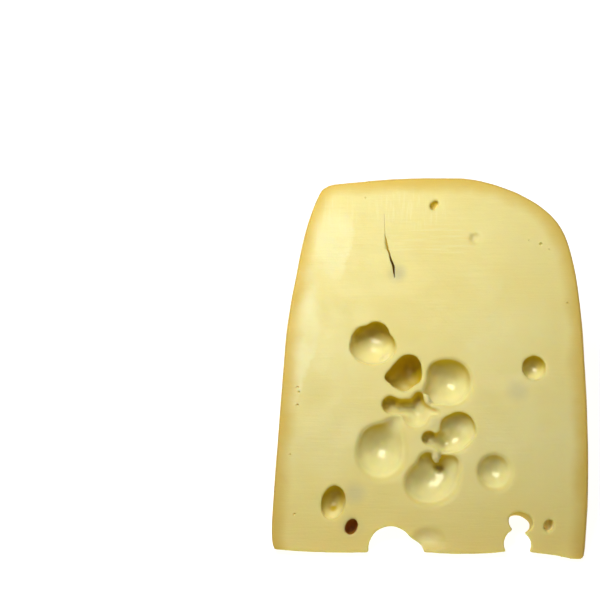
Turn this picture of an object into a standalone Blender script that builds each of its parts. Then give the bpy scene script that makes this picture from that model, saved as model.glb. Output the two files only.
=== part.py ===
"""A wedge cut from a small wheel of Swiss-style cheese, lying on one of its two cut faces.

The wheel's axle lies along X at the wedge's thin tip. The rounded rim is the far end, towards +Y, and the
wheel's two flat sides are the left and right of the wedge. The lower cut face rests on Z = 0 and the upper
one climbs away from the tip. The origin is the middle of the bounding box's base.

On either cut face a place is given by two lengths in millimetres: x, to the right as one looks straight at
that face with the tip nearest, and s, the distance out from the wheel's axle.
"""

import math
from collections import namedtuple

import bmesh
import bpy
from mathutils import Matrix, Vector

MM = 0.001
WEDGE_ANGLE = math.radians(35.0)

# The wheel was a little smaller at the lower cut than at the upper one.
LOWER_CUT_SHRINK = 0.015

# The torn tip slants under: it starts further out towards the lower cut. The slant dies away over the fade.
TIP_SLANT = 4.0
TIP_FADE = 8.0

# The outline of a cut face, round from the left end of the tip. It bulges in the middle of the wheel, has a
# tight corner at the upper left of the rim, and a broad round shoulder at the right.
OUTLINE = (
    (-56.9, 5.8), (-57.8, 13.0), (-56.9, 32.0), (-55.2, 62.0), (-53.6, 86.0), (-50.4, 108.0), (-46.2, 128.0),
    (-42.2, 139.0), (-39.4, 142.2), (-34.0, 143.7), (-16.0, 145.1), (2.0, 145.6), (17.0, 144.6), (30.0, 140.6),
    (42.0, 133.6), (49.4, 125.0), (53.4, 112.0), (55.6, 94.0), (56.7, 66.0), (56.8, 36.0), (55.6, 17.0),
    (54.4, 4.8), (53.0, 2.6), (49.5, 2.6), (42.0, 4.2), (30.0, 5.1), (14.0, 4.1), (-12.0, 4.2), (-38.0, 4.0),
    (-54.0, 4.7),
)
POINTS_PER_STRETCH = 3
ANGLE_STEPS = 9

# One gas bubble as a cut face meets it: half its width and height there, how far it reaches into the cheese,
# how much wider it is inside than at the face (negative for an open bowl), and its turn in degrees.
Bubble = namedtuple("Bubble", "x s half_width half_height reach undercut turn", defaults=(0.0,))

# An eye is one bubble, or several that have grown into each other.
UPPER_EYES = {
    "left_upper": (
        Bubble(-21.1, 80.3, 8.4, 6.7, 8.6, 0.1), Bubble(-24.0, 82.6, 5.0, 5.4, 7.0, 0.15),
        Bubble(-19.9, 84.8, 4.6, 4.6, 8.2, 0.35), Bubble(-20.6, 83.6, 3.2, 3.0, 9.0, 0.9),
    ),
    "pick_shaped": (
        Bubble(-7.8, 72.8, 4.2, 4.2, 12.0, 0.45), Bubble(-7.6, 69.0, 4.2, 3.4, 11.0, 0.4),
        Bubble(-12.9, 69.3, 3.7, 2.2, 9.0, 0.35, 15.0), Bubble(-9.6, 66.2, 2.3, 2.7, 8.5, 0.2),
        Bubble(-10.7, 70.4, 3.2, 3.5, 10.0, 0.3), Bubble(-11.9, 67.8, 2.3, 2.3, 8.0, 0.3),
    ),
    "large_right": (
        Bubble(7.2, 66.8, 8.0, 8.5, 8.5, -0.1), Bubble(1.8, 62.9, 4.2, 4.2, 5.5, 0.0),
        Bubble(3.8, 70.4, 4.4, 4.4, 6.0, 0.0),
    ),
    "ragged_middle": (
        Bubble(-14.6, 58.5, 2.9, 3.1, 6.0, 0.3), Bubble(-10.6, 57.7, 3.5, 2.6, 6.5, 0.3),
        Bubble(-6.8, 57.9, 3.4, 2.6, 6.5, 0.25), Bubble(-4.2, 60.0, 2.2, 3.2, 6.0, 0.2),
        Bubble(-2.8, 57.3, 2.7, 1.9, 4.5, 0.1), Bubble(0.2, 56.1, 3.3, 1.4, 2.8, -0.1, -14.0),
        Bubble(-5.2, 53.4, 4.6, 3.5, 4.2, -0.3), Bubble(-5.0, 55.6, 4.4, 3.2, 5.8, -0.1),
    ),
    "double_right": (
        Bubble(10.4, 49.5, 5.5, 5.9, 5.6, 0.4), Bubble(5.8, 45.2, 4.8, 4.2, 7.2, 0.0),
        Bubble(8.6, 46.7, 5.4, 5.3, 6.6, 0.1), Bubble(6.4, 51.0, 2.7, 2.9, 4.4, 0.3),
        Bubble(-0.5, 46.3, 2.4, 2.4, 5.0, 0.35), Bubble(1.8, 45.3, 2.4, 2.0, 5.2, 0.2),
    ),
    "teardrop": (
        Bubble(-18.2, 40.8, 8.6, 8.9, 7.4, -0.2), Bubble(-17.4, 46.6, 6.8, 4.4, 5.0, -0.1),
        Bubble(-14.4, 49.2, 3.0, 3.6, 2.6, -0.3, -38.0), Bubble(-12.6, 51.9, 1.4, 2.4, 1.2, -0.3, -38.0),
        Bubble(-18.0, 43.2, 6.6, 6.0, 7.2, -0.2),
    ),
    "large_lower": (
        Bubble(0.3, 30.9, 9.6, 7.9, 7.4, -0.15, 20.0), Bubble(3.6, 34.6, 6.6, 6.0, 7.0, 0.0),
        Bubble(-0.9, 37.6, 3.3, 3.4, 5.0, 0.0), Bubble(7.2, 37.2, 3.1, 2.7, 4.0, 0.0),
        Bubble(2.9, 36.2, 2.6, 1.7, 9.2, -0.1),
    ),
    "bowl_right": (Bubble(23.0, 34.3, 5.9, 6.1, 4.9, -0.2),),
    "small_right": (Bubble(37.9, 72.3, 4.0, 4.2, 5.6, 0.3),),
    "oval_left": (Bubble(-35.3, 22.7, 4.1, 5.8, 7.0, 0.3, -12.0),),
    "deep_pit": (Bubble(-28.6, 13.9, 2.1, 2.9, 6.4, 0.2, -24.0),),
    "shallow_by_tip": (Bubble(-1.2, 9.9, 4.6, 3.0, 1.4, -0.5),),
    "pit_by_corner": (Bubble(42.0, 15.1, 1.5, 2.1, 3.4, 0.3, -24.0),),
    "pit_by_rim": (Bubble(1.4, 134.2, 1.1, 1.5, 3.0, 0.3), Bubble(2.4, 135.3, 1.0, 1.2, 2.4, 0.2)),
    "dimple_by_rim": (Bubble(17.0, 121.6, 1.8, 1.7, 1.0, -0.4),),
}

# These reach right through the thin tip, so they open on both cut faces.
TIP_EYES = {
    "round_hole": (Bubble(32.2, 16.0, 4.0, 3.4, 16.0, 0.3), Bubble(31.0, 16.9, 2.6, 2.4, 16.0, 0.7)),
    "narrow_notch": (Bubble(30.8, 8.4, 4.5, 4.9, 14.0, 0.5),),
    "wide_notch": (Bubble(-14.4, 6.3, 7.4, 7.3, 16.0, 0.65), Bubble(-7.8, 5.2, 4.8, 4.0, 12.0, 0.4)),
}

# The other cut went through other bubbles of the same size and crowding.
LOWER_EYES = {
    "wide_upper": (Bubble(14.0, 92.0, 8.2, 7.4, 9.0, 0.1), Bubble(8.4, 86.5, 4.4, 4.2, 6.0, 0.1)),
    "upper_left": (Bubble(-5.5, 81.0, 6.2, 7.0, 7.0, -0.2),),
    "large_left": (Bubble(-21.5, 66.0, 8.8, 8.0, 8.0, -0.1), Bubble(-14.5, 60.5, 3.8, 3.4, 5.0, 0.2)),
    "large_middle": (Bubble(4.5, 60.0, 9.0, 8.4, 8.5, 0.0),),
    "oval_right": (Bubble(24.0, 66.0, 5.0, 5.9, 6.0, 0.2, 15.0),),
    "bowl_low": (Bubble(-7.0, 42.0, 6.6, 6.0, 5.6, -0.2),),
    "small_low": (Bubble(17.0, 41.0, 4.2, 4.5, 4.6, 0.1),),
    "small_far_left": (Bubble(-34.0, 94.0, 3.9, 4.3, 4.5, 0.2),),
    "pit_far_right": (Bubble(37.0, 104.0, 2.4, 2.2, 2.8, 0.0),),
    "bowl_left_tip": (Bubble(30.0, 27.0, 3.6, 3.2, 3.2, -0.2),),
}

# A short split where the paste has torn, as (x, s, width), from the rim end inwards.
SPLIT_LINE = (
    (-17.0, 128.0, 0.15), (-16.7, 124.0, 0.35), (-16.3, 120.5, 0.8), (-15.6, 117.0, 0.9), (-15.0, 114.6, 0.7),
    (-14.3, 112.4, 1.0), (-13.4, 109.8, 1.1), (-12.9, 107.6, 0.9), (-12.8, 105.4, 0.2),
)
SPLIT_DEPTH = 2.2
SPLIT_LEAN = 0.4
PROUD = 2.0

PASTE_COLOUR = (0.77, 0.67, 0.27, 1.0)
RIND_COLOUR = (0.80, 0.56, 0.24, 1.0)


def clear_scene():
    for obj in list(bpy.data.objects):
        bpy.data.objects.remove(obj, do_unlink=True)


def food_material(name, colour, roughness):
    material = bpy.data.materials.new(name)
    material.use_nodes = True
    shader = material.node_tree.nodes["Principled BSDF"]
    shader.inputs["Base Color"].default_value = colour
    shader.inputs["Roughness"].default_value = roughness
    shader.inputs["Metallic"].default_value = 0.0
    return material


def smooth_loop(corners, steps):
    """Points along a closed Catmull-Rom curve through the corners."""
    line = []
    for i in range(len(corners)):
        before, start, end, after = (Vector(corners[(i + k) % len(corners)]) for k in (-1, 0, 1, 2))
        for step in range(steps):
            t = step / steps
            line.append(
                0.5 * (2 * start + (end - before) * t + (2 * before - 5 * start + 4 * end - after) * t**2
                       + (3 * start - before - 3 * end + after) * t**3)
            )
    return line


def distance_out(s, angle):
    """How far from the axle the outline's place s lies at this angle above the lower cut."""
    out = s
    for _ in range(6):
        out = s + TIP_SLANT * (1.0 - angle / WEDGE_ANGLE) * math.exp(-out / TIP_FADE)
    return out * (1.0 - LOWER_CUT_SHRINK * (1.0 - angle / WEDGE_ANGLE) ** 2)


def wedge_body():
    """The wedge before its eyes: the cut face's outline, swung round the wheel's axle."""
    outline = smooth_loop(OUTLINE, POINTS_PER_STRETCH)
    shape = bmesh.new()
    rings = []
    for step in range(ANGLE_STEPS + 1):
        angle = WEDGE_ANGLE * step / ANGLE_STEPS
        turn = Matrix.Rotation(angle, 3, "X")
        rings.append([shape.verts.new(turn @ Vector((x, distance_out(s, angle), 0)) * MM) for x, s in outline])
    for ring, following in zip(rings, rings[1:]):
        for i in range(len(ring)):
            j = (i + 1) % len(ring)
            face = shape.faces.new((ring[i], ring[j], following[j], following[i]))
            face.material_index = 1
            face.smooth = True
    shape.faces.new(rings[0])
    shape.faces.new(rings[-1])
    bmesh.ops.recalc_face_normals(shape, faces=shape.faces)
    return shape


def upper_face():
    """Axes of the upper cut face: x, s and the way out of the cheese."""
    return Matrix.Rotation(WEDGE_ANGLE, 4, "X")


def lower_face():
    """Axes of the lower cut face, as seen from below with the tip nearest."""
    return Matrix.Rotation(math.pi, 4, "Y")


def cut_bubble(shape, face, bubble):
    """Adds the ellipsoid that meets the face as the bubble says."""
    depth_radius = bubble.reach / (1.0 + bubble.undercut)
    spread = 1.0 / math.sqrt(1.0 - bubble.undercut**2)
    radii = (bubble.half_width * spread * MM, bubble.half_height * spread * MM, depth_radius * MM, 1.0)
    centre = Vector((bubble.x, bubble.s, -bubble.undercut * depth_radius)) * MM
    rings = 6 if bubble.half_width < 2.0 else 8 if bubble.half_width < 4.0 else 10
    placed = face @ Matrix.Translation(centre) @ Matrix.Rotation(math.radians(bubble.turn), 4, "Z")
    bmesh.ops.create_uvsphere(
        shape, u_segments=2 * rings - 2, v_segments=rings, radius=1.0, matrix=placed @ Matrix.Diagonal(radii)
    )


def cut_split(shape, face):
    """Adds the split as a thin crooked blade that tapers to nothing below the face."""
    left = [face @ (Vector((x - width / 2, s, PROUD)) * MM) for x, s, width in SPLIT_LINE]
    right = [face @ (Vector((x + width / 2, s, PROUD)) * MM) for x, s, width in SPLIT_LINE]
    floor = [face @ (Vector((x + SPLIT_LEAN, s, -SPLIT_DEPTH)) * MM) for x, s, width in SPLIT_LINE]
    rails = [[shape.verts.new(place) for place in rail] for rail in (left, right, floor)]
    made = [shape.faces.new([rail[0] for rail in rails]), shape.faces.new([rail[-1] for rail in rails])]
    for i in range(len(SPLIT_LINE) - 1):
        for rail, beside in zip(rails, rails[1:] + rails[:1]):
            made.append(shape.faces.new((rail[i], rail[i + 1], beside[i + 1], beside[i])))
    bmesh.ops.recalc_face_normals(shape, faces=made)


def eye_shapes():
    """Every eye and the split, as one set of closed shapes to take out of the wedge."""
    shape = bmesh.new()
    for face, eyes in ((upper_face(), UPPER_EYES), (upper_face(), TIP_EYES), (lower_face(), LOWER_EYES)):
        for bubbles in eyes.values():
            for bubble in bubbles:
                cut_bubble(shape, face, bubble)
    cut_split(shape, upper_face())
    for face in shape.faces:
        face.smooth = True
    return shape


def add_object(name, shape, materials):
    mesh = bpy.data.meshes.new(name)
    shape.to_mesh(mesh)
    shape.free()
    for material in materials:
        mesh.materials.append(material)
    obj = bpy.data.objects.new(name, mesh)
    bpy.context.scene.collection.objects.link(obj)
    return obj


def middle_of_base(mesh):
    xs, ys, zs = zip(*(v.co for v in mesh.vertices))
    return Vector(((min(xs) + max(xs)) / 2, (min(ys) + max(ys)) / 2, min(zs)))


def build():
    clear_scene()
    paste = food_material("cheese_paste", PASTE_COLOUR, 0.4)
    rind = food_material("cheese_rind", RIND_COLOUR, 0.45)
    wedge = add_object("cheese_wedge", wedge_body(), (paste, rind))
    eyes = add_object("eye_shapes", eye_shapes(), (paste,))
    eyes.hide_render = True
    eyes.display_type = "WIRE"
    to_origin = -middle_of_base(wedge.data)
    wedge.location = to_origin
    eyes.location = to_origin
    holes = wedge.modifiers.new("eyes", "BOOLEAN")
    holes.operation = "DIFFERENCE"
    holes.solver = "EXACT"
    holes.use_self = True
    holes.object = eyes


build()
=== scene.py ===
"""The cheese wedge as it looks: moist pale paste, soft-rimmed eyes and a golden band under a thin rind.

The wedge is one closed mesh, worked out as a distance field in millimetres and skinned at about half a
millimetre. The field's own axes are those of the upper cut face: x to the right, s out from the wheel's
axle, and n out of the cheese. The lower cut face has the same kind of axes, seen from below.
"""

import math
from collections import namedtuple

import bmesh
import bpy
import numpy as np
from mathutils import Matrix, Vector
from mathutils.bvhtree import BVHTree


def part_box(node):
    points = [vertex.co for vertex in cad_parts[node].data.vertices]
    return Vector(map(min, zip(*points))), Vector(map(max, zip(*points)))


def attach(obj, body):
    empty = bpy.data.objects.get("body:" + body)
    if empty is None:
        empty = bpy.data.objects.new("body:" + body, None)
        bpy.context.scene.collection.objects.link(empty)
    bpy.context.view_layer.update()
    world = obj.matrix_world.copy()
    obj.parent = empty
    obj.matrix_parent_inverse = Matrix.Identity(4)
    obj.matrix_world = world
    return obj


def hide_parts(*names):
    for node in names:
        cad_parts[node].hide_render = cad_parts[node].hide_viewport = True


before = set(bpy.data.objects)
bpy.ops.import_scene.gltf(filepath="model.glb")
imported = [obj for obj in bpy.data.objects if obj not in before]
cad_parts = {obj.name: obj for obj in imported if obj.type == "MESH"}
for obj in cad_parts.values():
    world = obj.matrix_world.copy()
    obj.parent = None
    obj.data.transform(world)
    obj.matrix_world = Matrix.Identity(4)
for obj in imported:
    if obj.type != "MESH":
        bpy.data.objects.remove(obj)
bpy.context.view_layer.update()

MM = 0.001
NODE = "cheese_wedge"
WEDGE_ANGLE = math.radians(35.0)
COS, SIN = math.cos(WEDGE_ANGLE), math.sin(WEDGE_ANGLE)
LOWER_CUT_SHRINK = 0.015

# The tip slants under: at the lower cut it starts this much further out. The slant dies away over the fade.
TIP_SLANT = 4.0
TIP_FADE = 8.0

# The outline of a cut face in millimetres, as (x, s), round from the left end of the tip.
OUTLINE = (
    (-56.9, 5.8), (-57.8, 13.0), (-56.9, 32.0), (-55.2, 62.0), (-53.6, 86.0), (-50.4, 108.0),
    (-46.2, 128.0), (-42.2, 139.0), (-39.4, 142.2), (-34.0, 143.7), (-16.0, 145.1), (2.0, 145.6),
    (17.0, 144.6), (30.0, 140.6), (42.0, 133.6), (49.4, 125.0), (53.4, 112.0), (55.6, 94.0),
    (56.7, 66.0), (56.8, 36.0), (55.6, 17.0), (54.4, 4.8), (53.0, 2.6), (49.5, 2.6), (42.0, 4.2),
    (30.0, 5.1), (14.0, 4.1), (-12.0, 4.2), (-38.0, 4.0), (-54.0, 4.7),
)
# The outline's corners on the wheel's skin come first, before those of the torn tip.
SKIN_CORNERS = 22

# Points on each stretch of the outline, and the turns of the CAD body from cut to cut.
STRETCH_POINTS = 8
CAD_STRETCH_POINTS = 3
CAD_TURNS = 9

# A bubble where a cut face meets it: half its width and height there, its reach into the cheese, how much
# wider it is inside than at the face, and its turn in degrees.
Bubble = namedtuple("Bubble", "x s half_width half_height reach undercut turn", defaults=(0.0,))

# An eye: its bubbles, how softly they merge, and how softly the rim rolls over, in millimetres.
Eye = namedtuple("Eye", "merge rim bubbles")

UPPER_EYES = {
    "left_upper": Eye(0.55, 0.8, (
        Bubble(-21.1, 80.3, 8.4, 6.7, 8.6, 0.1), Bubble(-24.0, 82.6, 5.0, 5.4, 7.0, 0.15),
        Bubble(-19.9, 84.8, 4.6, 4.6, 8.2, 0.35), Bubble(-20.6, 83.6, 3.2, 3.0, 9.0, 0.9),
    )),
    "pick_shaped": Eye(2.6, 0.8, (
        Bubble(-7.8, 72.8, 4.2, 4.2, 12.0, 0.45), Bubble(-7.6, 69.0, 4.2, 3.4, 11.0, 0.4),
        Bubble(-12.9, 69.3, 3.7, 2.2, 9.0, 0.35, 15.0), Bubble(-9.6, 66.2, 2.3, 2.7, 8.5, 0.2),
        Bubble(-10.7, 70.4, 3.2, 3.5, 10.0, 0.3), Bubble(-11.9, 67.8, 2.3, 2.3, 8.0, 0.3),
    )),
    "large_right": Eye(2.0, 1.5, (
        Bubble(7.2, 66.8, 8.0, 8.5, 8.5, -0.1), Bubble(1.8, 62.9, 4.2, 4.2, 5.5, 0.0),
        Bubble(3.8, 70.4, 4.4, 4.4, 6.0, 0.0),
    )),
    "ragged_middle": Eye(1.7, 0.8, (
        Bubble(-14.6, 58.5, 2.9, 3.1, 6.0, 0.3), Bubble(-10.6, 57.7, 3.5, 2.6, 6.5, 0.3),
        Bubble(-6.8, 57.9, 3.4, 2.6, 6.5, 0.25), Bubble(-4.2, 60.0, 2.2, 3.2, 6.0, 0.2),
        Bubble(-2.8, 57.3, 2.7, 1.9, 4.5, 0.1), Bubble(0.2, 56.1, 3.3, 1.4, 2.8, -0.1, -14.0),
        Bubble(-5.2, 53.4, 4.6, 3.5, 4.2, -0.3), Bubble(-5.0, 55.6, 4.4, 3.2, 5.8, -0.1),
    )),
    "double_right": Eye(1.0, 1.0, (
        Bubble(10.4, 49.5, 5.5, 5.9, 5.6, 0.4), Bubble(5.8, 45.2, 4.8, 4.2, 7.2, 0.0),
        Bubble(8.6, 46.7, 5.4, 5.3, 6.6, 0.1), Bubble(6.4, 51.0, 2.7, 2.9, 4.4, 0.3),
        Bubble(-0.5, 46.3, 2.4, 2.4, 5.0, 0.35), Bubble(1.8, 45.3, 2.4, 2.0, 5.2, 0.2),
    )),
    "teardrop": Eye(3.0, 2.0, (
        Bubble(-18.2, 40.8, 8.6, 8.9, 7.4, -0.2), Bubble(-17.4, 46.6, 6.8, 4.4, 5.0, -0.1),
        Bubble(-14.4, 49.2, 3.0, 3.6, 2.6, -0.3, -38.0), Bubble(-12.6, 51.9, 1.4, 2.4, 1.2, -0.3, -38.0),
        Bubble(-18.0, 43.2, 6.6, 6.0, 7.2, -0.2),
    )),
    "large_lower": Eye(2.0, 1.6, (
        Bubble(0.3, 30.9, 9.6, 7.9, 7.4, -0.15, 20.0), Bubble(3.6, 34.6, 6.6, 6.0, 7.0, 0.0),
        Bubble(-0.9, 37.6, 3.3, 3.4, 5.0, 0.0), Bubble(7.2, 37.2, 3.1, 2.7, 4.0, 0.0),
        Bubble(2.9, 36.2, 2.6, 1.7, 9.2, -0.1),
    )),
    "bowl_right": Eye(1.0, 1.5, (Bubble(23.0, 34.3, 5.9, 6.1, 4.9, -0.2),)),
    "small_right": Eye(1.0, 0.8, (Bubble(37.9, 72.3, 4.0, 4.2, 5.6, 0.3),)),
    "oval_left": Eye(1.0, 0.8, (Bubble(-35.3, 22.7, 4.1, 5.8, 7.0, 0.3, -12.0),)),
    "deep_pit": Eye(1.0, 0.6, (Bubble(-28.6, 13.9, 2.1, 2.9, 6.4, 0.2, -24.0),)),
    "shallow_by_tip": Eye(1.0, 1.8, (Bubble(-1.2, 9.9, 4.6, 3.0, 1.4, -0.5),)),
    "pit_by_corner": Eye(1.0, 0.6, (Bubble(42.0, 15.1, 1.5, 2.1, 3.4, 0.3, -24.0),)),
    "pit_by_rim": Eye(0.5, 0.6, (
        Bubble(1.4, 134.2, 1.1, 1.5, 3.0, 0.3), Bubble(2.4, 135.3, 1.0, 1.2, 2.4, 0.2),
    )),
    "dimple_by_rim": Eye(1.0, 1.1, (Bubble(17.0, 121.6, 1.8, 1.7, 1.0, -0.4),)),
    "round_hole": Eye(1.0, 0.6, (
        Bubble(32.2, 16.0, 4.0, 3.4, 16.0, 0.3), Bubble(31.0, 16.9, 2.6, 2.4, 16.0, 0.7),
    )),
    "narrow_notch": Eye(1.0, 0.6, (Bubble(30.8, 8.4, 4.5, 4.9, 14.0, 0.5),)),
    "wide_notch": Eye(1.4, 0.8, (
        Bubble(-14.4, 6.3, 7.4, 7.3, 16.0, 0.65), Bubble(-7.8, 5.2, 4.8, 4.0, 12.0, 0.4),
    )),
}

LOWER_EYES = {
    "wide_upper": Eye(1.0, 1.2, (
        Bubble(14.0, 92.0, 8.2, 7.4, 9.0, 0.1), Bubble(8.4, 86.5, 4.4, 4.2, 6.0, 0.1),
    )),
    "upper_left": Eye(1.0, 1.6, (Bubble(-5.5, 81.0, 6.2, 7.0, 7.0, -0.2),)),
    "large_left": Eye(1.2, 1.4, (
        Bubble(-21.5, 66.0, 8.8, 8.0, 8.0, -0.1), Bubble(-14.5, 60.5, 3.8, 3.4, 5.0, 0.2),
    )),
    "large_middle": Eye(1.0, 1.2, (Bubble(4.5, 60.0, 9.0, 8.4, 8.5, 0.0),)),
    "oval_right": Eye(1.0, 1.0, (Bubble(24.0, 66.0, 5.0, 5.9, 6.0, 0.2, 15.0),)),
    "bowl_low": Eye(1.0, 2.0, (Bubble(-7.0, 42.0, 6.6, 6.0, 5.6, -0.2),)),
    "small_low": Eye(1.0, 1.0, (Bubble(17.0, 41.0, 4.2, 4.5, 4.6, 0.1),)),
    "small_far_left": Eye(1.0, 1.0, (Bubble(-34.0, 94.0, 3.9, 4.3, 4.5, 0.2),)),
    "pit_far_right": Eye(1.0, 0.8, (Bubble(37.0, 104.0, 2.4, 2.2, 2.8, 0.0),)),
    "bowl_left_tip": Eye(1.0, 1.4, (Bubble(30.0, 27.0, 3.6, 3.2, 3.2, -0.2),)),
}

# The split in the paste as (x, s, width, depth), how far its floor leans to the right, and how far the
# blade that cuts it stands out of the face.
SPLIT_LINE = (
    (-17.3, 131.4, 0.05, 0.4), (-17.2, 127.0, 0.08, 0.5), (-16.9, 123.0, 0.2, 0.6), (-16.6, 121.4, 0.7, 0.9),
    (-16.3, 119.5, 1.0, 1.2), (-15.9, 117.4, 1.05, 1.3), (-15.1, 115.2, 0.7, 1.6), (-14.6, 113.2, 0.95, 2.0),
    (-13.7, 111.0, 1.05, 2.4), (-13.5, 108.6, 0.7, 2.0), (-13.3, 106.2, 0.15, 0.9),
)
SPLIT_LEAN = 0.4
SPLIT_PROUD = 1.0

# A bit of curd left standing in an eye: its middle, half its width, height and depth, and its turn in
# degrees.
Curd = namedtuple("Curd", "x s n half_width half_height half_depth turn")
CURDS = (
    Curd(2.1, 39.6, -2.4, 1.4, 2.3, 2.2, 0.0), Curd(-0.9, 60.6, -2.2, 1.0, 1.9, 1.6, 28.0),
    Curd(1.5, 51.9, -1.2, 1.8, 2.6, 1.2, -32.0), Curd(-16.1, 76.4, -6.3, 1.9, 1.7, 1.2, 0.0),
)

# How softly a curd merges with its eye, the room round it, and how ragged it is, in millimetres.
CURD_MERGE = 1.2
CURD_SPARE = 7.0
CURD_WAVES = 0.6
CURD_WAVE_LENGTH = 1.7

# Pinpricks in the upper cut face, as (x, s, radius), and the share of its radius that each one's middle
# lies under the face.
PINPRICKS = (
    (37.1, 120.4, 0.35), (41.3, 118.9, 0.7), (44.5, 116.9, 0.35), (-48.8, 64.9, 0.4), (-48.4, 63.0, 0.5),
    (-48.8, 58.2, 0.5), (-49.3, 18.2, 0.45), (-51.2, 39.8, 0.4), (-24.1, 137.6, 0.4), (50.6, 96.4, 0.4),
    (56.9, 67.5, 0.6), (57.0, 62.0, 0.5), (56.9, 59.2, 0.6), (-57.2, 26.0, 0.6),
)
PINPRICK_SINK = 0.3

# How uneven the eyes' walls, the rind and the two cut faces are, in millimetres.
EYE_WAVES = 0.07
EYE_WAVE_LENGTH = 6.5
RIND_WAVES = 0.14
RIND_WAVE_LENGTH = 21.0
CUT_WAVES = 0.05
UPPER_WAVE_LENGTH = 34.0
LOWER_WAVE_LENGTH = 29.0

# The field's ranges in x, s and n, its cell size and the softness of the wedge's own edges, in millimetres.
FIELD_RANGES = ((-60.0, 60.0), (1.0, 149.0), (-86.0, 2.0))
CELL = 0.6
EDGE = 0.8

# An eye changes the field inside this box: its bubbles, widened by the factor, with the spare all round.
BUBBLE_SPREAD = 1.3
EYE_SPARE = 5.0

MOST_TRIANGLES = 190000
SHARP_ANGLE = math.radians(66.0)

# How lit a place in an eye is: how far into an eye it has to lie, the directions that are tried, the share
# of their light that a cut face catches, how far off its place each starts and ends, and the rounds of
# smoothing.
SKY_INTO_EYE = 0.25
SKY_RAYS = 32
SKY_ON_FACE = 0.55
SKY_START = 0.05
SKY_REACH = 30.0
SKY_SMOOTHING = 5


def smooth_loop(corners, steps):
    """Points along a closed Catmull-Rom curve through the corners."""
    corners = np.array(corners)
    before, after, beyond = np.roll(corners, 1, 0), np.roll(corners, -1, 0), np.roll(corners, -2, 0)
    square = 2 * before - 5 * corners + 4 * after - beyond
    cube = 3 * corners - before - 3 * after + beyond
    line = []
    for t in np.arange(steps) / steps:
        line.append(0.5 * (2 * corners + (after - before) * t + square * t**2 + cube * t**3))
    return np.stack(line, 1).reshape(-1, 2)


def wheel_growth(angle):
    return 1.0 - LOWER_CUT_SHRINK * (1.0 - angle / WEDGE_ANGLE) ** 2


def tip_setback(out, angle):
    """How much further out than on the upper cut face the outline lies, this far out and at this angle."""
    return TIP_SLANT * (1.0 - angle / WEDGE_ANGLE) * np.exp(-out / TIP_FADE)


def axle_place():
    """Where the wheel's axle lies in the row frame, in millimetres.

    The CAD body's outline and turns are worked out again here, and their box is laid on the node's box.
    """
    outline = smooth_loop(OUTLINE, CAD_STRETCH_POINTS)
    angles = WEDGE_ANGLE * np.arange(CAD_TURNS + 1) / CAD_TURNS
    y = np.outer(outline[:, 1], wheel_growth(angles) * np.cos(angles))
    low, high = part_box(NODE)
    x_middle = (outline[:, 0].min() + outline[:, 0].max()) / 2
    y_middle = (y.min() + y.max()) / 2
    x_place = (low[0] + high[0]) / 2 / MM - x_middle
    y_place = (low[1] + high[1]) / 2 / MM - y_middle
    return np.array([x_place, y_place, low[2] / MM])


# The fine grid over the cut face for the outline's distances: its cell size, its first place and its shape.
PROFILE_CELL = 0.25
PROFILE_LOW = np.array([-62.0, -3.0])
PROFILE_SHAPE = (497, 621)


def profile_tables():
    """The distance to the outline, negative inside it, and the distance to its part on the wheel's skin."""
    x = PROFILE_LOW[0] + PROFILE_CELL * np.arange(PROFILE_SHAPE[0])[:, None]
    s = PROFILE_LOW[1] + PROFILE_CELL * np.arange(PROFILE_SHAPE[1])[None, :]
    line = smooth_loop(OUTLINE, STRETCH_POINTS)
    nearest = np.full(PROFILE_SHAPE, 1e9, np.float32)
    inside = np.zeros(PROFILE_SHAPE, bool)
    for number, ((ax, ay), (bx, by)) in enumerate(zip(line, np.roll(line, -1, 0))):
        ex, ey = bx - ax, by - ay
        t = np.clip(((x - ax) * ex + (s - ay) * ey) / (ex * ex + ey * ey), 0, 1)
        nearest = np.minimum(nearest, (x - ax - t * ex) ** 2 + (s - ay - t * ey) ** 2)
        if number + 1 == (SKIN_CORNERS - 1) * STRETCH_POINTS:
            to_skin = nearest
        if ey != 0:
            inside ^= ((ay > s) != (by > s)) & (x < ax + (s - ay) * ex / ey)
    sign = np.where(inside, -1, 1)
    return (sign * np.sqrt(nearest)).astype(np.float32), np.sqrt(to_skin).astype(np.float32)


PROFILE, SKIN = profile_tables()


def table_value(table, x, s):
    i = np.clip((x - PROFILE_LOW[0]) / PROFILE_CELL, 0, PROFILE_SHAPE[0] - 1.001)
    j = np.clip((s - PROFILE_LOW[1]) / PROFILE_CELL, 0, PROFILE_SHAPE[1] - 1.001)
    i0, j0 = i.astype(np.int32), j.astype(np.int32)
    i, j = i - i0, j - j0
    near = table[i0, j0] * (1 - i) + table[i0 + 1, j0] * i
    far = table[i0, j0 + 1] * (1 - i) + table[i0 + 1, j0 + 1] * i
    return near * (1 - j) + far * j


def smooth_min(a, b, softness):
    """Joins two shapes with a soft seam, by their distances in millimetres, which are negative inside."""
    overlap = np.maximum(softness - np.abs(a - b), 0) / softness
    return np.minimum(a, b) - overlap * overlap * softness / 4


def smooth_max(a, b, softness):
    """What two shapes share, with a soft edge."""
    return -smooth_min(-a, -b, softness)


def turned_distance(table, x, y, z):
    """The distance to the outline turned about the wheel's axle."""
    angle = np.clip(np.arctan2(z, y), 0, WEDGE_ANGLE)
    out = np.hypot(y, z) / wheel_growth(angle)
    return table_value(table, x, out - tip_setback(out, angle))


def waves(u, v, length):
    """A gentle unevenness between -1 and 1, with no direction of its own."""
    turn = 2 * math.pi / length
    return (
        np.sin(turn * (u + 0.35 * v) + 1.3) * np.sin(turn * (0.83 * v - 0.21 * u) + 0.4)
        + 0.5 * np.sin(turn * 2.3 * (0.6 * u - v) + 2.1) * np.sin(turn * 1.9 * (u + 0.5 * v) + 0.9)
    ) / 1.5


def level(s, n):
    """The same place's y and z, out from the wheel's axle and up from the lower cut face."""
    return s * COS - n * SIN, s * SIN + n * COS


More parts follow.
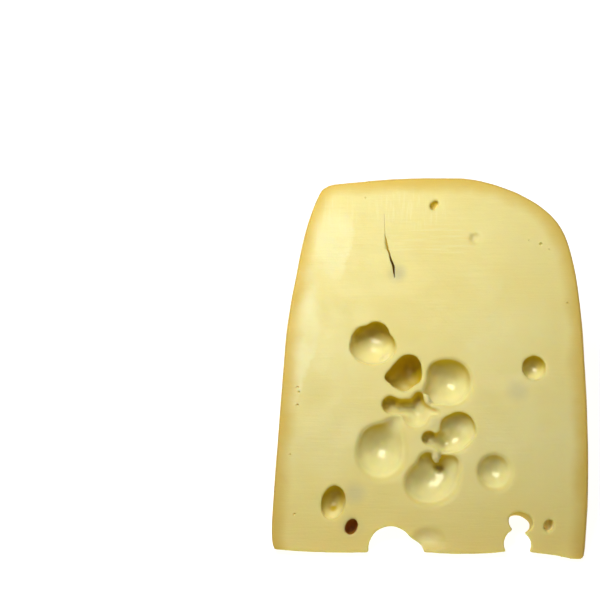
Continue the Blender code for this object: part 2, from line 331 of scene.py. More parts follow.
def wedge_distance(x, s, n):
    """The wedge before its eyes."""
    y, z = level(s, n)
    rind = turned_distance(PROFILE, x, y, z)
    rind = rind + RIND_WAVES * (1 + waves(x + 0.7 * z, y - z, RIND_WAVE_LENGTH))
    upper = n + CUT_WAVES * (1 + waves(x, s, UPPER_WAVE_LENGTH))
    lower = CUT_WAVES * (1 + waves(x, y, LOWER_WAVE_LENGTH)) - z
    return smooth_max(smooth_max(rind, lower, EDGE), upper, EDGE)


def ellipsoid_distance(u, v, w, radii, turn):
    """About the distance to the skin of an ellipsoid at the origin, turned by so many degrees about w."""
    turn = math.radians(turn)
    along = u * math.cos(turn) + v * math.sin(turn)
    across = v * math.cos(turn) - u * math.sin(turn)
    scaled = [along / radii[0], across / radii[1], w / radii[2]]
    reach = np.sqrt(sum(part * part for part in scaled))
    steepness = np.sqrt(sum((part / radius) ** 2 for part, radius in zip(scaled, radii)))
    return reach * (reach - 1) / np.maximum(steepness, 1e-6)


def bubble_distance(bubble, u, v, w):
    depth_radius = bubble.reach / (1.0 + bubble.undercut)
    spread = 1.0 / math.sqrt(1.0 - bubble.undercut**2)
    radii = bubble.half_width * spread, bubble.half_height * spread, depth_radius
    return ellipsoid_distance(
        u - bubble.x, v - bubble.s, w + bubble.undercut * depth_radius, radii, bubble.turn
    )


def curd_distance(curd, x, s, n):
    radii = curd.half_width, curd.half_height, curd.half_depth
    return ellipsoid_distance(x - curd.x, s - curd.s, n - curd.n, radii, curd.turn)


def eye_distance(eye, u, v, w):
    field = None
    for bubble in eye.bubbles:
        one = bubble_distance(bubble, u, v, w)
        field = one if field is None else smooth_min(field, one, eye.merge)
    return field + EYE_WAVES * waves(u + 0.8 * w, v - 0.5 * w, EYE_WAVE_LENGTH)


def rim_softness(eye, u, v):
    """The blade dragged each rim a little, so it rolls over more softly towards the lower right."""
    main = eye.bubbles[0]
    aside = (0.6 * (u - main.x) - 0.8 * (v - main.s)) / max(main.half_width, main.half_height)
    return 0.8 + 0.7 * np.clip(0.5 + 0.5 * aside, 0, 1)


def upper_axes(x, s, n):
    return x, s, n


def lower_axes(x, s, n):
    """The lower cut face's own x, s and n at a place given in the upper face's, or the other way round."""
    y, z = level(s, n)
    return -x, y, -z


def eye_reach(eye):
    """The corner places of a box round the eye, in its own face's axes."""
    left = min(bubble.x - BUBBLE_SPREAD * bubble.half_width for bubble in eye.bubbles)
    right = max(bubble.x + BUBBLE_SPREAD * bubble.half_width for bubble in eye.bubbles)
    near = min(bubble.s - BUBBLE_SPREAD * bubble.half_height for bubble in eye.bubbles)
    far = max(bubble.s + BUBBLE_SPREAD * bubble.half_height for bubble in eye.bubbles)
    deep = max(bubble.reach for bubble in eye.bubbles)
    low = (left - EYE_SPARE, near - EYE_SPARE, -deep - EYE_SPARE)
    return low, (right + EYE_SPARE, far + EYE_SPARE, EYE_SPARE)


def block_of(eye, face, axes):
    """The slices of the field's grid that the eye can change."""
    low, high = eye_reach(eye)
    corners = [(u, v, w) for u in (low[0], high[0]) for v in (low[1], high[1]) for w in (low[2], high[2])]
    places = np.array([face(*corner) for corner in corners])
    cuts = []
    for axis, line in enumerate(axes):
        first = np.searchsorted(line, places[:, axis].min())
        last = np.searchsorted(line, places[:, axis].max())
        cuts.append(slice(first, last))
    return tuple(cuts)


def block_places(part, axes):
    """The x, s and n of a block of the grid."""
    return np.meshgrid(*[line[cut] for line, cut in zip(axes, part)], indexing="ij", sparse=True)


def cheese_field():
    """The whole wedge's distance field, with the three lines of its grid."""
    axes = [np.arange(start, end, CELL) for start, end in FIELD_RANGES]
    x, s, n = np.meshgrid(*[line.astype(np.float32) for line in axes], indexing="ij", sparse=True)
    field = wedge_distance(x, s, n).astype(np.float32)
    for eyes, face in ((UPPER_EYES, upper_axes), (LOWER_EYES, lower_axes)):
        for eye in eyes.values():
            part = block_of(eye, face, axes)
            u, v, w = face(*block_places(part, axes))
            rim = eye.rim * rim_softness(eye, u, v)
            field[part] = smooth_max(field[part], -eye_distance(eye, u, v, w), rim)
    for curd in CURDS:
        part = tuple(
            slice(np.searchsorted(line, middle - CURD_SPARE), np.searchsorted(line, middle + CURD_SPARE))
            for line, middle in zip(axes, (curd.x, curd.s, curd.n))
        )
        x, s, n = block_places(part, axes)
        ragged = CURD_WAVES * waves(x + n, s - n, CURD_WAVE_LENGTH)
        standing = smooth_max(curd_distance(curd, x, s, n) + ragged, wedge_distance(x, s, n), EDGE)
        field[part] = smooth_min(field[part], standing, CURD_MERGE)
    return field, axes


def skin_of(field, axes):
    """Surface nets: a point in each cell that the zero level crosses, and a quad over each crossed edge."""
    inside = field < 0
    corners = [(i, j, k) for i in (0, 1) for j in (0, 1) for k in (0, 1)]
    size = np.array(field.shape) - 1
    count = np.zeros(size, np.int8)
    for i, j, k in corners:
        count += inside[i:i + size[0], j:j + size[1], k:k + size[2]]
    cells = np.argwhere((count > 0) & (count < 8))
    number = np.full(size, -1, np.int32)
    number[tuple(cells.T)] = np.arange(len(cells))
    total, hits = np.zeros((len(cells), 3)), np.zeros(len(cells))
    for start in corners:
        for axis in range(3):
            if start[axis]:
                continue
            end = tuple(c + (a == axis) for a, c in enumerate(start))
            first = field[tuple((cells + start).T)]
            second = field[tuple((cells + end).T)]
            crossed = (first < 0) != (second < 0)
            t = np.where(crossed, first / np.where(crossed, first - second, 1), 0)
            place = np.array(start) + t[:, None] * (np.array(end) - np.array(start))
            total += place * crossed[:, None]
            hits += crossed
    places = (cells + total / hits[:, None]) * CELL + np.array([line[0] for line in axes])
    quads = []
    for axis in range(3):
        step_u = np.roll(np.eye(3, dtype=int), axis + 1, 1)[0]
        step_v = np.roll(np.eye(3, dtype=int), axis + 2, 1)[0]
        low = np.take(inside, range(field.shape[axis] - 1), axis)
        high = np.take(inside, range(1, field.shape[axis]), axis)
        edges = np.argwhere(low != high)
        around = [edges - step_u - step_v, edges - step_v, edges, edges - step_u]
        ring = np.stack([number[tuple(cell.T)] for cell in around], 1)
        leaving = low[tuple(edges.T)]
        ring[~leaving] = ring[~leaving][:, ::-1]
        quads.append(ring)
    return places, np.concatenate(quads)


def apply_modifiers(obj):
    graph = bpy.context.evaluated_depsgraph_get()
    mesh = bpy.data.meshes.new_from_object(obj.evaluated_get(graph))
    obj.modifiers.clear()
    old = obj.data
    obj.data = mesh
    bpy.data.meshes.remove(old)


def new_object(name, data):
    obj = bpy.data.objects.new(name, data)
    bpy.context.scene.collection.objects.link(obj)
    return obj


def to_row(places, axle):
    """Turns places in the upper face's axes into the row frame, in metres."""
    x, s, n = places.T
    return (np.stack([x, *level(s, n)], 1) + axle) * MM


def from_row(places, axle):
    """Turns places in the row frame back into the upper face's x, s and n."""
    x, y, z = (places / MM - axle).T
    return x, y * COS + z * SIN, z * COS - y * SIN


def cheese_mesh(axle):
    field, axes = cheese_field()
    places, quads = skin_of(field, axes)
    mesh = bpy.data.meshes.new("cheese")
    mesh.from_pydata(to_row(places, axle), [], quads)
    cheese = new_object("cheese", mesh)
    slim = cheese.modifiers.new("slim", "DECIMATE")
    slim.ratio = min(1.0, MOST_TRIANGLES / (2 * len(quads)))
    apply_modifiers(cheese)
    return cheese


def split_shape(shape, axle):
    """The split: a crooked blade, as wide as SPLIT_LINE says at the face and nothing at its floor."""
    rails = []
    x, s, width, depth = np.array(SPLIT_LINE).T
    proud = np.full(len(SPLIT_LINE), SPLIT_PROUD)
    half = width / 2 * (proud + depth) / depth
    for across, n in ((x - half, proud), (x + half, proud), (x + SPLIT_LEAN, -depth)):
        rails.append([shape.verts.new(place) for place in to_row(np.stack([across, s, n], 1), axle)])
    made = [shape.faces.new([rail[0] for rail in rails]), shape.faces.new([rail[-1] for rail in rails])]
    for i in range(len(SPLIT_LINE) - 1):
        for rail, beside in zip(rails, rails[1:] + rails[:1]):
            made.append(shape.faces.new((rail[i], rail[i + 1], beside[i + 1], beside[i])))
    bmesh.ops.recalc_face_normals(shape, faces=made)


def cut_fine_marks(cheese, axle):
    """Takes the split and the pinpricks out of the finished skin."""
    shape = bmesh.new()
    split_shape(shape, axle)
    for x, s, radius in PINPRICKS:
        place = Matrix.Translation(to_row(np.array([(x, s, -PINPRICK_SINK * radius)]), axle)[0])
        bmesh.ops.create_icosphere(shape, subdivisions=2, radius=radius * MM, matrix=place)
    mesh = bpy.data.meshes.new("fine_marks")
    shape.to_mesh(mesh)
    shape.free()
    marks = new_object("fine_marks", mesh)
    cut = cheese.modifiers.new("fine_marks", "BOOLEAN")
    cut.operation = "DIFFERENCE"
    cut.solver = "EXACT"
    cut.object = marks
    apply_modifiers(cheese)
    bpy.data.objects.remove(marks)


def smooth_normals(cheese):
    cheese.data.shade_smooth()
    cheese.data.set_sharp_from_angle(angle=SHARP_ANGLE)
    weigh = cheese.modifiers.new("weigh", "WEIGHTED_NORMAL")
    weigh.keep_sharp = True
    weigh.mode = "FACE_AREA"
    weigh.weight = 50
    apply_modifiers(cheese)


def add_measures(cheese, axle):
    """Stores at each vertex how far it lies under the wheel's skin, into an eye and into a curd.

    These lengths are in millimetres.
    """
    mesh = cheese.data
    places = np.empty(len(mesh.vertices) * 3)
    mesh.vertices.foreach_get("co", places)
    x, s, n = from_row(places.reshape(-1, 3), axle)
    measures = {
        "under_rind": turned_distance(SKIN, x, *level(s, n)),
        "into_eye": -wedge_distance(x, s, n),
        "into_curd": -np.min([curd_distance(curd, x, s, n) for curd in CURDS], 0),
    }
    for name, values in measures.items():
        mesh.attributes.new(name, "FLOAT", "POINT").data.foreach_set("value", values.astype(np.float32))


def sky_directions(middle):
    """Directions about the middle one, closer together towards it, so that each stands for as much light."""
    facing = middle.to_track_quat("Z", "Y").to_matrix()
    golden_turn = math.pi * (3 - math.sqrt(5))
    made = []
    for i in range(SKY_RAYS):
        share = (i + 0.5) / SKY_RAYS
        radius, turn = math.sqrt(share), i * golden_turn
        place = radius * math.cos(turn), radius * math.sin(turn), math.sqrt(1 - share)
        made.append(facing @ Vector(place))
    return made


def add_lit(cheese):
    """Stores at each vertex how much of the light from over its cut face gets there, 1 on the open face."""
    mesh = cheese.data
    tree = BVHTree.FromObject(cheese, bpy.context.evaluated_depsgraph_get())
    into_eye = np.empty(len(mesh.vertices), np.float32)
    mesh.attributes["into_eye"].data.foreach_get("value", into_eye)
    lit = np.ones(len(mesh.vertices), np.float32)
    upper_sky = sky_directions(Vector((0, 0, 1)))
    lower_sky = sky_directions(Vector((0, SIN, -COS)))
    upper_middle = WEDGE_ANGLE / 2
    for number in np.nonzero(into_eye > SKY_INTO_EYE)[0]:
        vertex = mesh.vertices[int(number)]
        place, normal = vertex.co, vertex.normal
        turn = math.atan2(place.z - axle[2] * MM, place.y - axle[1] * MM)
        start = place + normal * (SKY_START * MM)
        total = 0.0
        for way in upper_sky if turn > upper_middle else lower_sky:
            facing = way.dot(normal)
            if facing > 0 and tree.ray_cast(start, way, SKY_REACH * MM)[0] is None:
                total += facing
        lit[number] = total / (SKY_RAYS * SKY_ON_FACE)
    ends = np.empty(2 * len(mesh.edges), np.int32)
    mesh.edges.foreach_get("vertices", ends)
    first, second = ends.reshape(-1, 2).T
    count = np.bincount(ends, minlength=len(lit)) + 1
    for _ in range(SKY_SMOOTHING):
        total = lit + np.bincount(first, lit[second], len(lit))
        lit = (total + np.bincount(second, lit[first], len(lit))) / count
    mesh.attributes.new("lit", "FLOAT", "POINT").data.foreach_set("value", lit.astype(np.float32))


class Painter:
    """Adds nodes to one material and links them."""

    def __init__(self, name):
        self.material = bpy.data.materials.new(name)
        self.material.use_nodes = True
        self.tree = self.material.node_tree
        self.shader = self.tree.nodes["Principled BSDF"]

    def node(self, kind, inputs=(), **settings):
        made = self.tree.nodes.new("ShaderNode" + kind)
        for name, value in settings.items():
            setattr(made, name, value)
        for name, value in dict(inputs).items():
            self.put(made.inputs[name], value)
        return made

    def put(self, socket, value):
        if isinstance(value, bpy.types.NodeSocket):
            self.tree.links.new(value, socket)
        else:
            socket.default_value = value

    def math(self, operation, first, second=0.0):
        return self.node("Math", {0: first, 1: second}, operation=operation).outputs[0]

    def multiply_add(self, value, times, plus):
        return self.node("Math", {0: value, 1: times, 2: plus}, operation="MULTIPLY_ADD").outputs[0]

    def vector(self, operation, first, second=(0, 0, 0)):
        return self.node("VectorMath", {0: first, 1: second}, operation=operation)

    def mix_values(self, factor, first, second):
        return self.node("Mix", {0: factor, 2: first, 3: second}, data_type="FLOAT").outputs[0]

    def fade(self, value, start, end, low=0.0, high=1.0):
        """Goes smoothly from low at start to high at end."""
        inputs = {"Value": value, "From Min": start, "From Max": end, "To Min": low, "To Max": high}
        return self.node("MapRange", inputs, interpolation_type="SMOOTHSTEP").outputs["Result"]

    def mix(self, factor, first, second):
        made = self.node("Mix", data_type="RGBA")
        self.put(made.inputs[0], factor)
        self.put(made.inputs[6], first)
        self.put(made.inputs[7], second)
        return made.outputs[2]

    def noise(self, place, size, detail=2.0, roughness=0.5, distortion=0.0):
        """Noise whose features are about this many millimetres across."""
        inputs = {"Vector": place, "Scale": 1 / (size * MM), "Detail": detail, "Roughness": roughness}
        inputs["Distortion"] = distortion
        return self.node("TexNoise", inputs).outputs["Fac"]

    def attribute(self, name):
        return self.node("Attribute", attribute_name=name).outputs["Fac"]


def colour(red, green, blue):
    return (red, green, blue, 1.0)


PASTE_PALE = colour(0.84, 0.75, 0.32)
PASTE_DEEP = colour(0.83, 0.72, 0.27)
PASTE_AT_TIP = colour(0.86, 0.71, 0.21)
# Inside the eyes the paste is paler, which partly paints the light on their floors, and a golden painted
# shade goes where little light gets.
EYE_PASTE = colour(0.93, 0.84, 0.38)
EYE_PAINTED_SHADE = colour(0.66, 0.48, 0.0)
GOLDEN = colour(0.71, 0.52, 0.10)
RIND_EDGE = colour(0.55, 0.37, 0.09)
RIND_CREAM = colour(0.93, 0.76, 0.38)
RIND_ORANGE = colour(0.88, 0.62, 0.24)
RIND_SCUFF = colour(0.74, 0.48, 0.16)
# A pale colour for the dried film and the painted sheen along the face's left, and for the streaks.
FILM_AND_SHEEN = colour(0.90, 0.84, 0.45)
CURD = colour(0.72, 0.66, 0.36)
SMUDGE = colour(0.45, 0.42, 0.28)
SPLIT_SHADE_GOLDEN = colour(0.74, 0.58, 0.12)
SPLIT_SHADE_BROWN = colour(0.30, 0.17, 0.01)
PIT_SHADE_BROWN = colour(0.50, 0.22, 0.02)

# Faint grey-blue smudges on the upper cut face, as (x, s, radius, strength).
SMUDGES = (
    (-12.0, 108.0, 5.0, 0.45), (31.8, 63.5, 6.0, 0.30), (-27.5, 26.0, 6.0, 0.34), (-28.6, 13.9, 6.0, 0.30),
)

# The deep pit by the tip is painted brown as its shade: the middle of that painted shade as (x, s, n), with
# the radii where it starts and where it is full.
PIT_PLACE = (-28.6, 13.9, -3.5)
PIT_RADII = (4.3, 2.9)

# A patch of the upper cut face is an oval: its middle, and half its width and height. The split's walls lie
# in this one and are painted with shade, which between these two values of s turns from golden into brown.
SPLIT_PATCH = ((-14.9, 116.5), (8.0, 18.0))
SPLIT_TURNS_BROWN = (118.0, 112.0)

# A part of one eye that isn't moist, beside its moist floor.
DRY_PATCH = ((-10.5, 58.6), (10.0, 5.0))

# Two paler patches on the face along its left: a film that dried there, which is partly painted sheen, and
# below it a band along the left edge that is painted sheen. On the right the film ends sharply at one x,
# which leans to the left below the place where it turns.
FILM_AND_SHEEN_PATCHES = (((-35.0, 119.0), (13.0, 17.0)), ((-47.0, 84.0), (8.0, 46.0)))
FILM_EDGE = -24.8
FILM_EDGE_WIDTH = 2.0
FILM_EDGE_WAVES = 6.0
FILM_TURN = 118.0
FILM_LEAN = 0.35

# Where a blade or a cloth left fine pale streaks: how the noise is stretched, and the patch they are in.
STREAKS = (
    ((1.0, 0.07, 1.0), ((-36.0, 128.0), (12.0, 18.0))),
    ((0.07, 1.0, 1.0), ((0.0, 121.0), (24.0, 9.0))),
    ((1.0, 0.12, 1.0), ((-8.0, 133.0), (20.0, 10.0))),
)

# The golden band and the darker line under the rind, and the rind itself: how far under the wheel's skin
# each starts and is full, in millimetres. The band's depth varies by half of the last value each way.
GOLDEN_BAND = (7.5, 0.8)
EDGE_LINE = (1.3, 0.2)
RIND_SKIN = (0.55, 0.20)
GOLDEN_VARIES = 6.0

# Roughness of the paste between smeared and dry places, and of what differs from it.
PASTE_ROUGHNESS = (0.38, 0.54)
EYE_ROUGHNESS = 0.36
SHADED_ROUGHNESS = 0.8
RIND_ROUGHNESS = 0.42
CURD_ROUGHNESS = 0.65

# How far out from the axle the tip's deeper colour starts and is full, and where the eyes' painted shade
# does.
TIP_COLOUR = (50.0, 10.0)
EYE_SHADE = (12.0, 22.0)

# How much coat the moist floors have, how strong the curds' colour is, and the relief's height.
MOISTURE = 0.9
CURD_TINT = 0.7
RELIEF_HEIGHT = 0.15


class CheesePainter(Painter):
    """Colours the cheese by where a place lies, in metres, and by its stored measures, in millimetres."""

    def __init__(self, axle):
        super().__init__("cheese")
        self.place = self.node("TexCoord").outputs["Object"]
        from_axle = self.vector("SUBTRACT", self.place, tuple(axle * MM)).outputs["Vector"]
        turning = {"Vector": from_axle, "Angle": -WEDGE_ANGLE, "Axis": (1, 0, 0)}
        self.turned = self.node("VectorRotate", turning, rotation_type="AXIS_ANGLE").outputs["Vector"]
        self.across, self.from_tip, _ = self.node("SeparateXYZ", {0: self.turned}).outputs
        self.under_rind = self.attribute("under_rind")
        self.into_eye = self.attribute("into_eye")
        self.lit = self.attribute("lit")
        self.in_eye = self.fade(self.into_eye, 0.12, 1.8)
        self.in_curd = self.fade(self.attribute("into_curd"), -0.9, 0.2)
        self.on_rind = self.fade(self.under_rind, *RIND_SKIN)

    def in_patch(self, patch):
        """1 at the middle of the patch, falling to 0 at its edge."""
        (x, s), (half_width, half_height) = patch
        offset = self.vector("SUBTRACT", self.turned, (x * MM, s * MM, 0)).outputs["Vector"]
        scaled = self.vector("DIVIDE", offset, (half_width * MM, half_height * MM, 1.0)).outputs["Vector"]
        away = self.node("VectorMath", {0: scaled}, operation="LENGTH").outputs["Value"]
        return self.fade(away, 1.0, 0.4)

    def outward(self, start, end, high=1.0):
        """Goes from 0 to high between two distances from the axle, in millimetres."""
        return self.fade(self.from_tip, start * MM, end * MM, high=high)

    def distance_to(self, x, s, n):
        return self.vector("DISTANCE", self.turned, (x * MM, s * MM, n * MM)).outputs["Value"]

    def plain_paste(self):
        mottle = self.noise(self.place, 38.0, detail=3.0)
        paste = self.mix(self.fade(mottle, 0.35, 0.65), PASTE_DEEP, PASTE_PALE)
        flecks = self.noise(self.place, 2.6, detail=4.0, roughness=0.65)
        return self.mix(self.fade(flecks, 0.30, 0.75, high=0.30), paste, PASTE_DEEP)

    def film_edge(self):
        """1 left of the film's right edge, and 0 right of it."""
        below_turn = self.multiply_add(self.from_tip, -FILM_LEAN, FILM_TURN * FILM_LEAN * MM)
        leaning = self.math("ADD", self.across, self.math("MAXIMUM", below_turn, 0.0))
        unevenness = self.noise(self.place, 7.0, detail=5.0, roughness=0.65)
        wavy = self.multiply_add(unevenness, FILM_EDGE_WAVES * MM, leaning)
        return self.fade(wavy, FILM_EDGE * MM, (FILM_EDGE - FILM_EDGE_WIDTH) * MM)

    def with_film_and_sheen(self, paste):
        edge = self.film_edge()
        # Each patch paints the dried film and a painted sheen on the face's left.
        for patch in FILM_AND_SHEEN_PATCHES:
            cloudy = self.noise(self.place, 9.0, detail=3.0, roughness=0.6)
            film = self.math("MULTIPLY", self.in_patch(patch), edge)
            film = self.math("MULTIPLY", film, self.fade(cloudy, 0.25, 0.6, low=0.35, high=0.8))
            paste = self.mix(film, paste, FILM_AND_SHEEN)
        return paste

    def with_streaks(self, paste):
        for stretched, patch in STREAKS:
            drawn_out = self.vector("MULTIPLY", self.turned, stretched).outputs["Vector"]
            streaks = self.fade(self.noise(drawn_out, 1.1), 0.45, 0.7, high=0.38)
            paste = self.mix(self.math("MULTIPLY", streaks, self.in_patch(patch)), paste, FILM_AND_SHEEN)
        return paste

    def with_eyes(self, paste):
        """Paler paste inside the eyes, partly painted light on their floors, and golden painted shade where
        little light gets, but not at the tip.
        """
        paste = self.mix(self.in_eye, paste, EYE_PASTE)
        # Golden painted shade, set by how little of the light from over the face reaches each place.
        shaded = self.math("MULTIPLY", self.fade(self.lit, 0.64, 0.22), self.outward(*EYE_SHADE))
        return self.mix(shaded, paste, EYE_PAINTED_SHADE)

    def with_golden_band(self, paste):
        unevenness = self.noise(self.place, 18.0, detail=3.0)
        uneven = self.multiply_add(unevenness, GOLDEN_VARIES, -GOLDEN_VARIES / 2)
        depth = self.math("ADD", self.under_rind, uneven)
        paste = self.mix(self.fade(depth, *GOLDEN_BAND), paste, GOLDEN)
        return self.mix(self.fade(self.under_rind, *EDGE_LINE), paste, RIND_EDGE)

    def with_marks(self, paste):
        """The smudges, the painted shade in the brown pit and on the split's walls, and the curds."""
        for x, s, radius, strength in SMUDGES:
            smudge = self.fade(self.distance_to(x, s, 0.0), radius * MM, radius * 0.1 * MM, high=strength)
            paste = self.mix(smudge, paste, SMUDGE)
        outer, inner = PIT_RADII
        # Brown painted shade in the deep pit.
        paste = self.mix(self.fade(self.distance_to(*PIT_PLACE), outer * MM, inner * MM), paste, PIT_SHADE_BROWN)
        # Painted shade on the split's walls, golden turning brown towards the tip.
        split_shade = self.mix(self.outward(*SPLIT_TURNS_BROWN), SPLIT_SHADE_GOLDEN, SPLIT_SHADE_BROWN)
        in_split = self.math("MULTIPLY", self.in_patch(SPLIT_PATCH), self.fade(self.into_eye, 0.15, 0.5))
        paste = self.mix(in_split, paste, split_shade)
        return self.mix(self.math("MULTIPLY", self.in_curd, CURD_TINT), paste, CURD)

    def rind(self):
        along_rind = self.vector("MULTIPLY", self.place, (0.35, 1.0, 1.0)).outputs["Vector"]
        blotch = self.noise(along_rind, 16.0, detail=5.0, roughness=0.6, distortion=0.6)
        rind = self.mix(self.fade(blotch, 0.32, 0.68), RIND_ORANGE, RIND_CREAM)
        scuffs = self.noise(along_rind, 3.0, detail=4.0, roughness=0.7)
        return self.mix(self.fade(scuffs, 0.55, 0.75, high=0.5), rind, RIND_SCUFF)

    def roughness(self):
        smear = self.noise(self.place, 8.0, detail=3.0, roughness=0.6)
        rough = self.fade(smear, 0.3, 0.7, *PASTE_ROUGHNESS)
        rough = self.mix_values(self.in_eye, rough, EYE_ROUGHNESS)
        rough = self.mix_values(self.fade(self.lit, 0.45, 0.1), rough, SHADED_ROUGHNESS)
        rough = self.mix_values(self.on_rind, rough, RIND_ROUGHNESS)
        return self.mix_values(self.in_curd, rough, CURD_ROUGHNESS)

    def moisture(self):
        """The floors of the deeper eyes shine, apart from the curds, the dry patch and dark places."""
        dry = self.math("MAXIMUM", self.in_curd, self.in_patch(DRY_PATCH))
        wet = self.math("MULTIPLY", self.fade(self.into_eye, 1.5, 5.0), self.fade(self.lit, 0.2, 0.6))
        wet = self.math("MULTIPLY", wet, self.fade(dry, 0.5, 0.0))
        return self.math("MULTIPLY", wet, MOISTURE)

    def relief(self):
        """Strokes of the blade and grain on the paste, coarser grain on the curds, dimples in the rind."""
        drawn_out = self.vector("MULTIPLY", self.turned, (0.10, 1.0, 1.0)).outputs["Vector"]
        strokes = self.noise(drawn_out, 1.6, detail=3.0, roughness=0.6)
        strokes = self.math("MULTIPLY", strokes, self.fade(self.into_eye, 0.8, 0.2, low=0.15))
        grain = self.noise(self.place, 0.9, detail=3.0, roughness=0.6)
        grain = self.math("MULTIPLY", grain, self.fade(self.in_curd, 0.2, 1.0, low=0.4, high=2.5))
        dimples = self.noise(self.place, 5.0, detail=3.0, roughness=0.6)
        dimples = self.math("MULTIPLY", dimples, self.math("MULTIPLY", self.on_rind, 5.0))
        return self.math("ADD", self.math("ADD", strokes, grain), dimples)


def cheese_material(axle):
    paint = CheesePainter(axle)
    paste = paint.with_streaks(paint.with_film_and_sheen(paint.plain_paste()))
    paste = paint.mix(paint.outward(*TIP_COLOUR, high=0.7), paste, PASTE_AT_TIP)
    paste = paint.with_marks(paint.with_golden_band(paint.with_eyes(paste)))
    paint.put(paint.shader.inputs["Base Color"], paint.mix(paint.on_rind, paste, paint.rind()))
    paint.put(paint.shader.inputs["Roughness"], paint.roughness())
    paint.put(paint.shader.inputs["Coat Weight"], paint.moisture())
    bump = paint.node("Bump", {"Height": paint.relief(), "Strength": 0.5, "Distance": RELIEF_HEIGHT * MM})
    paint.put(paint.shader.inputs["Normal"], bump.outputs["Normal"])
    for name, value in (
        ("Subsurface Weight", 0.45), ("Subsurface Radius", (1.0, 0.70, 0.20)),
        ("Subsurface Scale", 4.0 * MM), ("IOR", 1.44), ("Specular IOR Level", 0.55),
        ("Coat Roughness", 0.20), ("Coat IOR", 1.7),
    ):
        paint.shader.inputs[name].default_value = value
    return paint.material


# Half the floor's width and the backdrop's radius, in metres, and how brightly the two glow.
FLOOR_HALF = 4.0
FLOOR_GLOW = 0.90
BACKDROP_GLOW = 0.92
FLOOR_GREY = colour(0.35, 0.35, 0.35)
WHITE = colour(1.0, 1.0, 1.0)
BLACK = colour(0.0, 0.0, 0.0)


def add_floor():
    """A plain pale floor that reads as white, with a soft shadow."""
    mesh = bpy.data.meshes.new("floor")
    corners = [(x * FLOOR_HALF, y * FLOOR_HALF, 0) for x, y in ((-1, -1), (1, -1), (1, 1), (-1, 1))]
    mesh.from_pydata(corners, [], [(0, 1, 2, 3)])
    floor = new_object("floor", mesh)
    paint = Painter("floor")
    paint.shader.inputs["Base Color"].default_value = FLOOR_GREY
    paint.shader.inputs["Roughness"].default_value = 0.9
    paint.shader.inputs["Emission Color"].default_value = WHITE
    paint.shader.inputs["Emission Strength"].default_value = FLOOR_GLOW
    mesh.materials.append(paint.material)
    floor.visible_glossy = False


def add_backdrop():
    """A pale wall round the floor. It gives no light."""
    shape = bmesh.new()
    bmesh.ops.create_cone(
        shape, cap_ends=False, segments=48, radius1=FLOOR_HALF, radius2=FLOOR_HALF, depth=2 * FLOOR_HALF
    )
    mesh = bpy.data.meshes.new("backdrop")
    shape.to_mesh(mesh)
    shape.free()
    wall = new_object("backdrop", mesh)
    paint = Painter("backdrop")
    paint.shader.inputs["Base Color"].default_value = BLACK
    paint.shader.inputs["Specular IOR Level"].default_value = 0.0
    paint.shader.inputs["Emission Color"].default_value = WHITE
    paint.shader.inputs["Emission Strength"].default_value = BACKDROP_GLOW
    paint.material.cycles.emission_sampling = "NONE"
    mesh.materials.append(paint.material)
    wall.visible_diffuse = False
    wall.visible_glossy = False
    wall.visible_shadow = False


# Tints of the light, where the lamps stand and what they are turned to, in metres.
SKY_TINT = colour(1.0, 0.98, 0.93)
SKY_STRENGTH = 0.07
LAMP_TINT = (1.0, 0.99, 0.95)
FRONT_TINT = (1.0, 1.0, 0.80)
KEY_PLACE = (-0.095, -0.015, 0.347)
FRONT_PLACE = (-0.05, -0.15, 0.37)
LAMP_AIM = (0.0, 0.0, 0.03)
# These stand below both cut faces' horizons, so they reach the rind alone.
RIND_LAMPS = {"left_of_rind": (-0.36, 0.32, 0.13), "right_of_rind": (0.30, 0.38, 0.13)}
RIND_LAMP_AIM = (0.0, 0.02, 0.04)


def add_area_light(name, place, target, width, height, power, tint):
    light = bpy.data.lights.new(name, "AREA")
    light.shape = "RECTANGLE"
    light.size = width
    light.size_y = height
    light.energy = power
    light.color = tint
    lamp = new_object(name, light)
    lamp.location = place
    lamp.rotation_euler = (Vector(target) - Vector(place)).to_track_quat("-Z", "Y").to_euler()
    return lamp


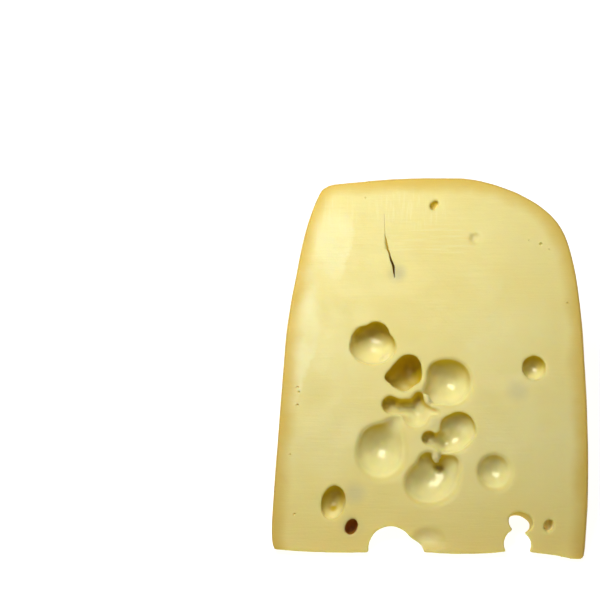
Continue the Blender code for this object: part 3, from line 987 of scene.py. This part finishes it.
def add_light():
    world = bpy.data.worlds.new("studio")
    bpy.context.scene.world = world
    world.use_nodes = True
    world.node_tree.nodes["Background"].inputs["Color"].default_value = SKY_TINT
    world.node_tree.nodes["Background"].inputs["Strength"].default_value = SKY_STRENGTH
    key = add_area_light("key", KEY_PLACE, LAMP_AIM, width=0.16, height=0.14, power=0.99, tint=LAMP_TINT)
    key.visible_glossy = False
    front = add_area_light(
        "front", FRONT_PLACE, LAMP_AIM, width=0.24, height=0.15, power=0.7, tint=FRONT_TINT
    )
    front.visible_diffuse = False
    for name, place in RIND_LAMPS.items():
        add_area_light(name, place, RIND_LAMP_AIM, width=0.30, height=0.14, power=0.6, tint=LAMP_TINT)


# The camera in the photograph: 45 degrees above the horizon, aimed at a place on the upper cut face that
# shows right of and below the picture's middle.
AIM_S = 72.0
LENS = 85.0
SENSOR_WIDTH = 36.0
CAMERA_DISTANCE = 524.7
CAMERA_ELEVATION = math.radians(45.0)
CAMERA_YAW = math.radians(5.237)
CAMERA_PITCH = math.radians(2.748)


def add_camera(axle):
    camera = new_object("camera", bpy.data.cameras.new("camera"))
    camera.data.lens = LENS
    camera.data.sensor_width = SENSOR_WIDTH
    ahead = Vector((0.0, math.cos(CAMERA_ELEVATION), -math.sin(CAMERA_ELEVATION)))
    aim = Vector(to_row(np.array([(0.0, AIM_S, 0.0)]), axle)[0])
    looking = Matrix.Rotation(math.pi / 2 - CAMERA_ELEVATION, 4, "X")
    aside = Matrix.Rotation(CAMERA_YAW, 4, "Y") @ Matrix.Rotation(CAMERA_PITCH, 4, "X")
    camera.matrix_world = Matrix.Translation(aim - ahead * CAMERA_DISTANCE * MM) @ looking @ aside
    bpy.context.scene.camera = camera


axle = axle_place()
cheese = cheese_mesh(axle)
cut_fine_marks(cheese, axle)
smooth_normals(cheese)
add_measures(cheese, axle)
add_lit(cheese)
cheese.data.materials.clear()
cheese.data.materials.append(cheese_material(axle))
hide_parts(NODE)
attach(cheese, "root")

add_floor()
add_backdrop()
add_light()
add_camera(axle)
bpy.context.scene.view_settings.view_transform = "Standard"
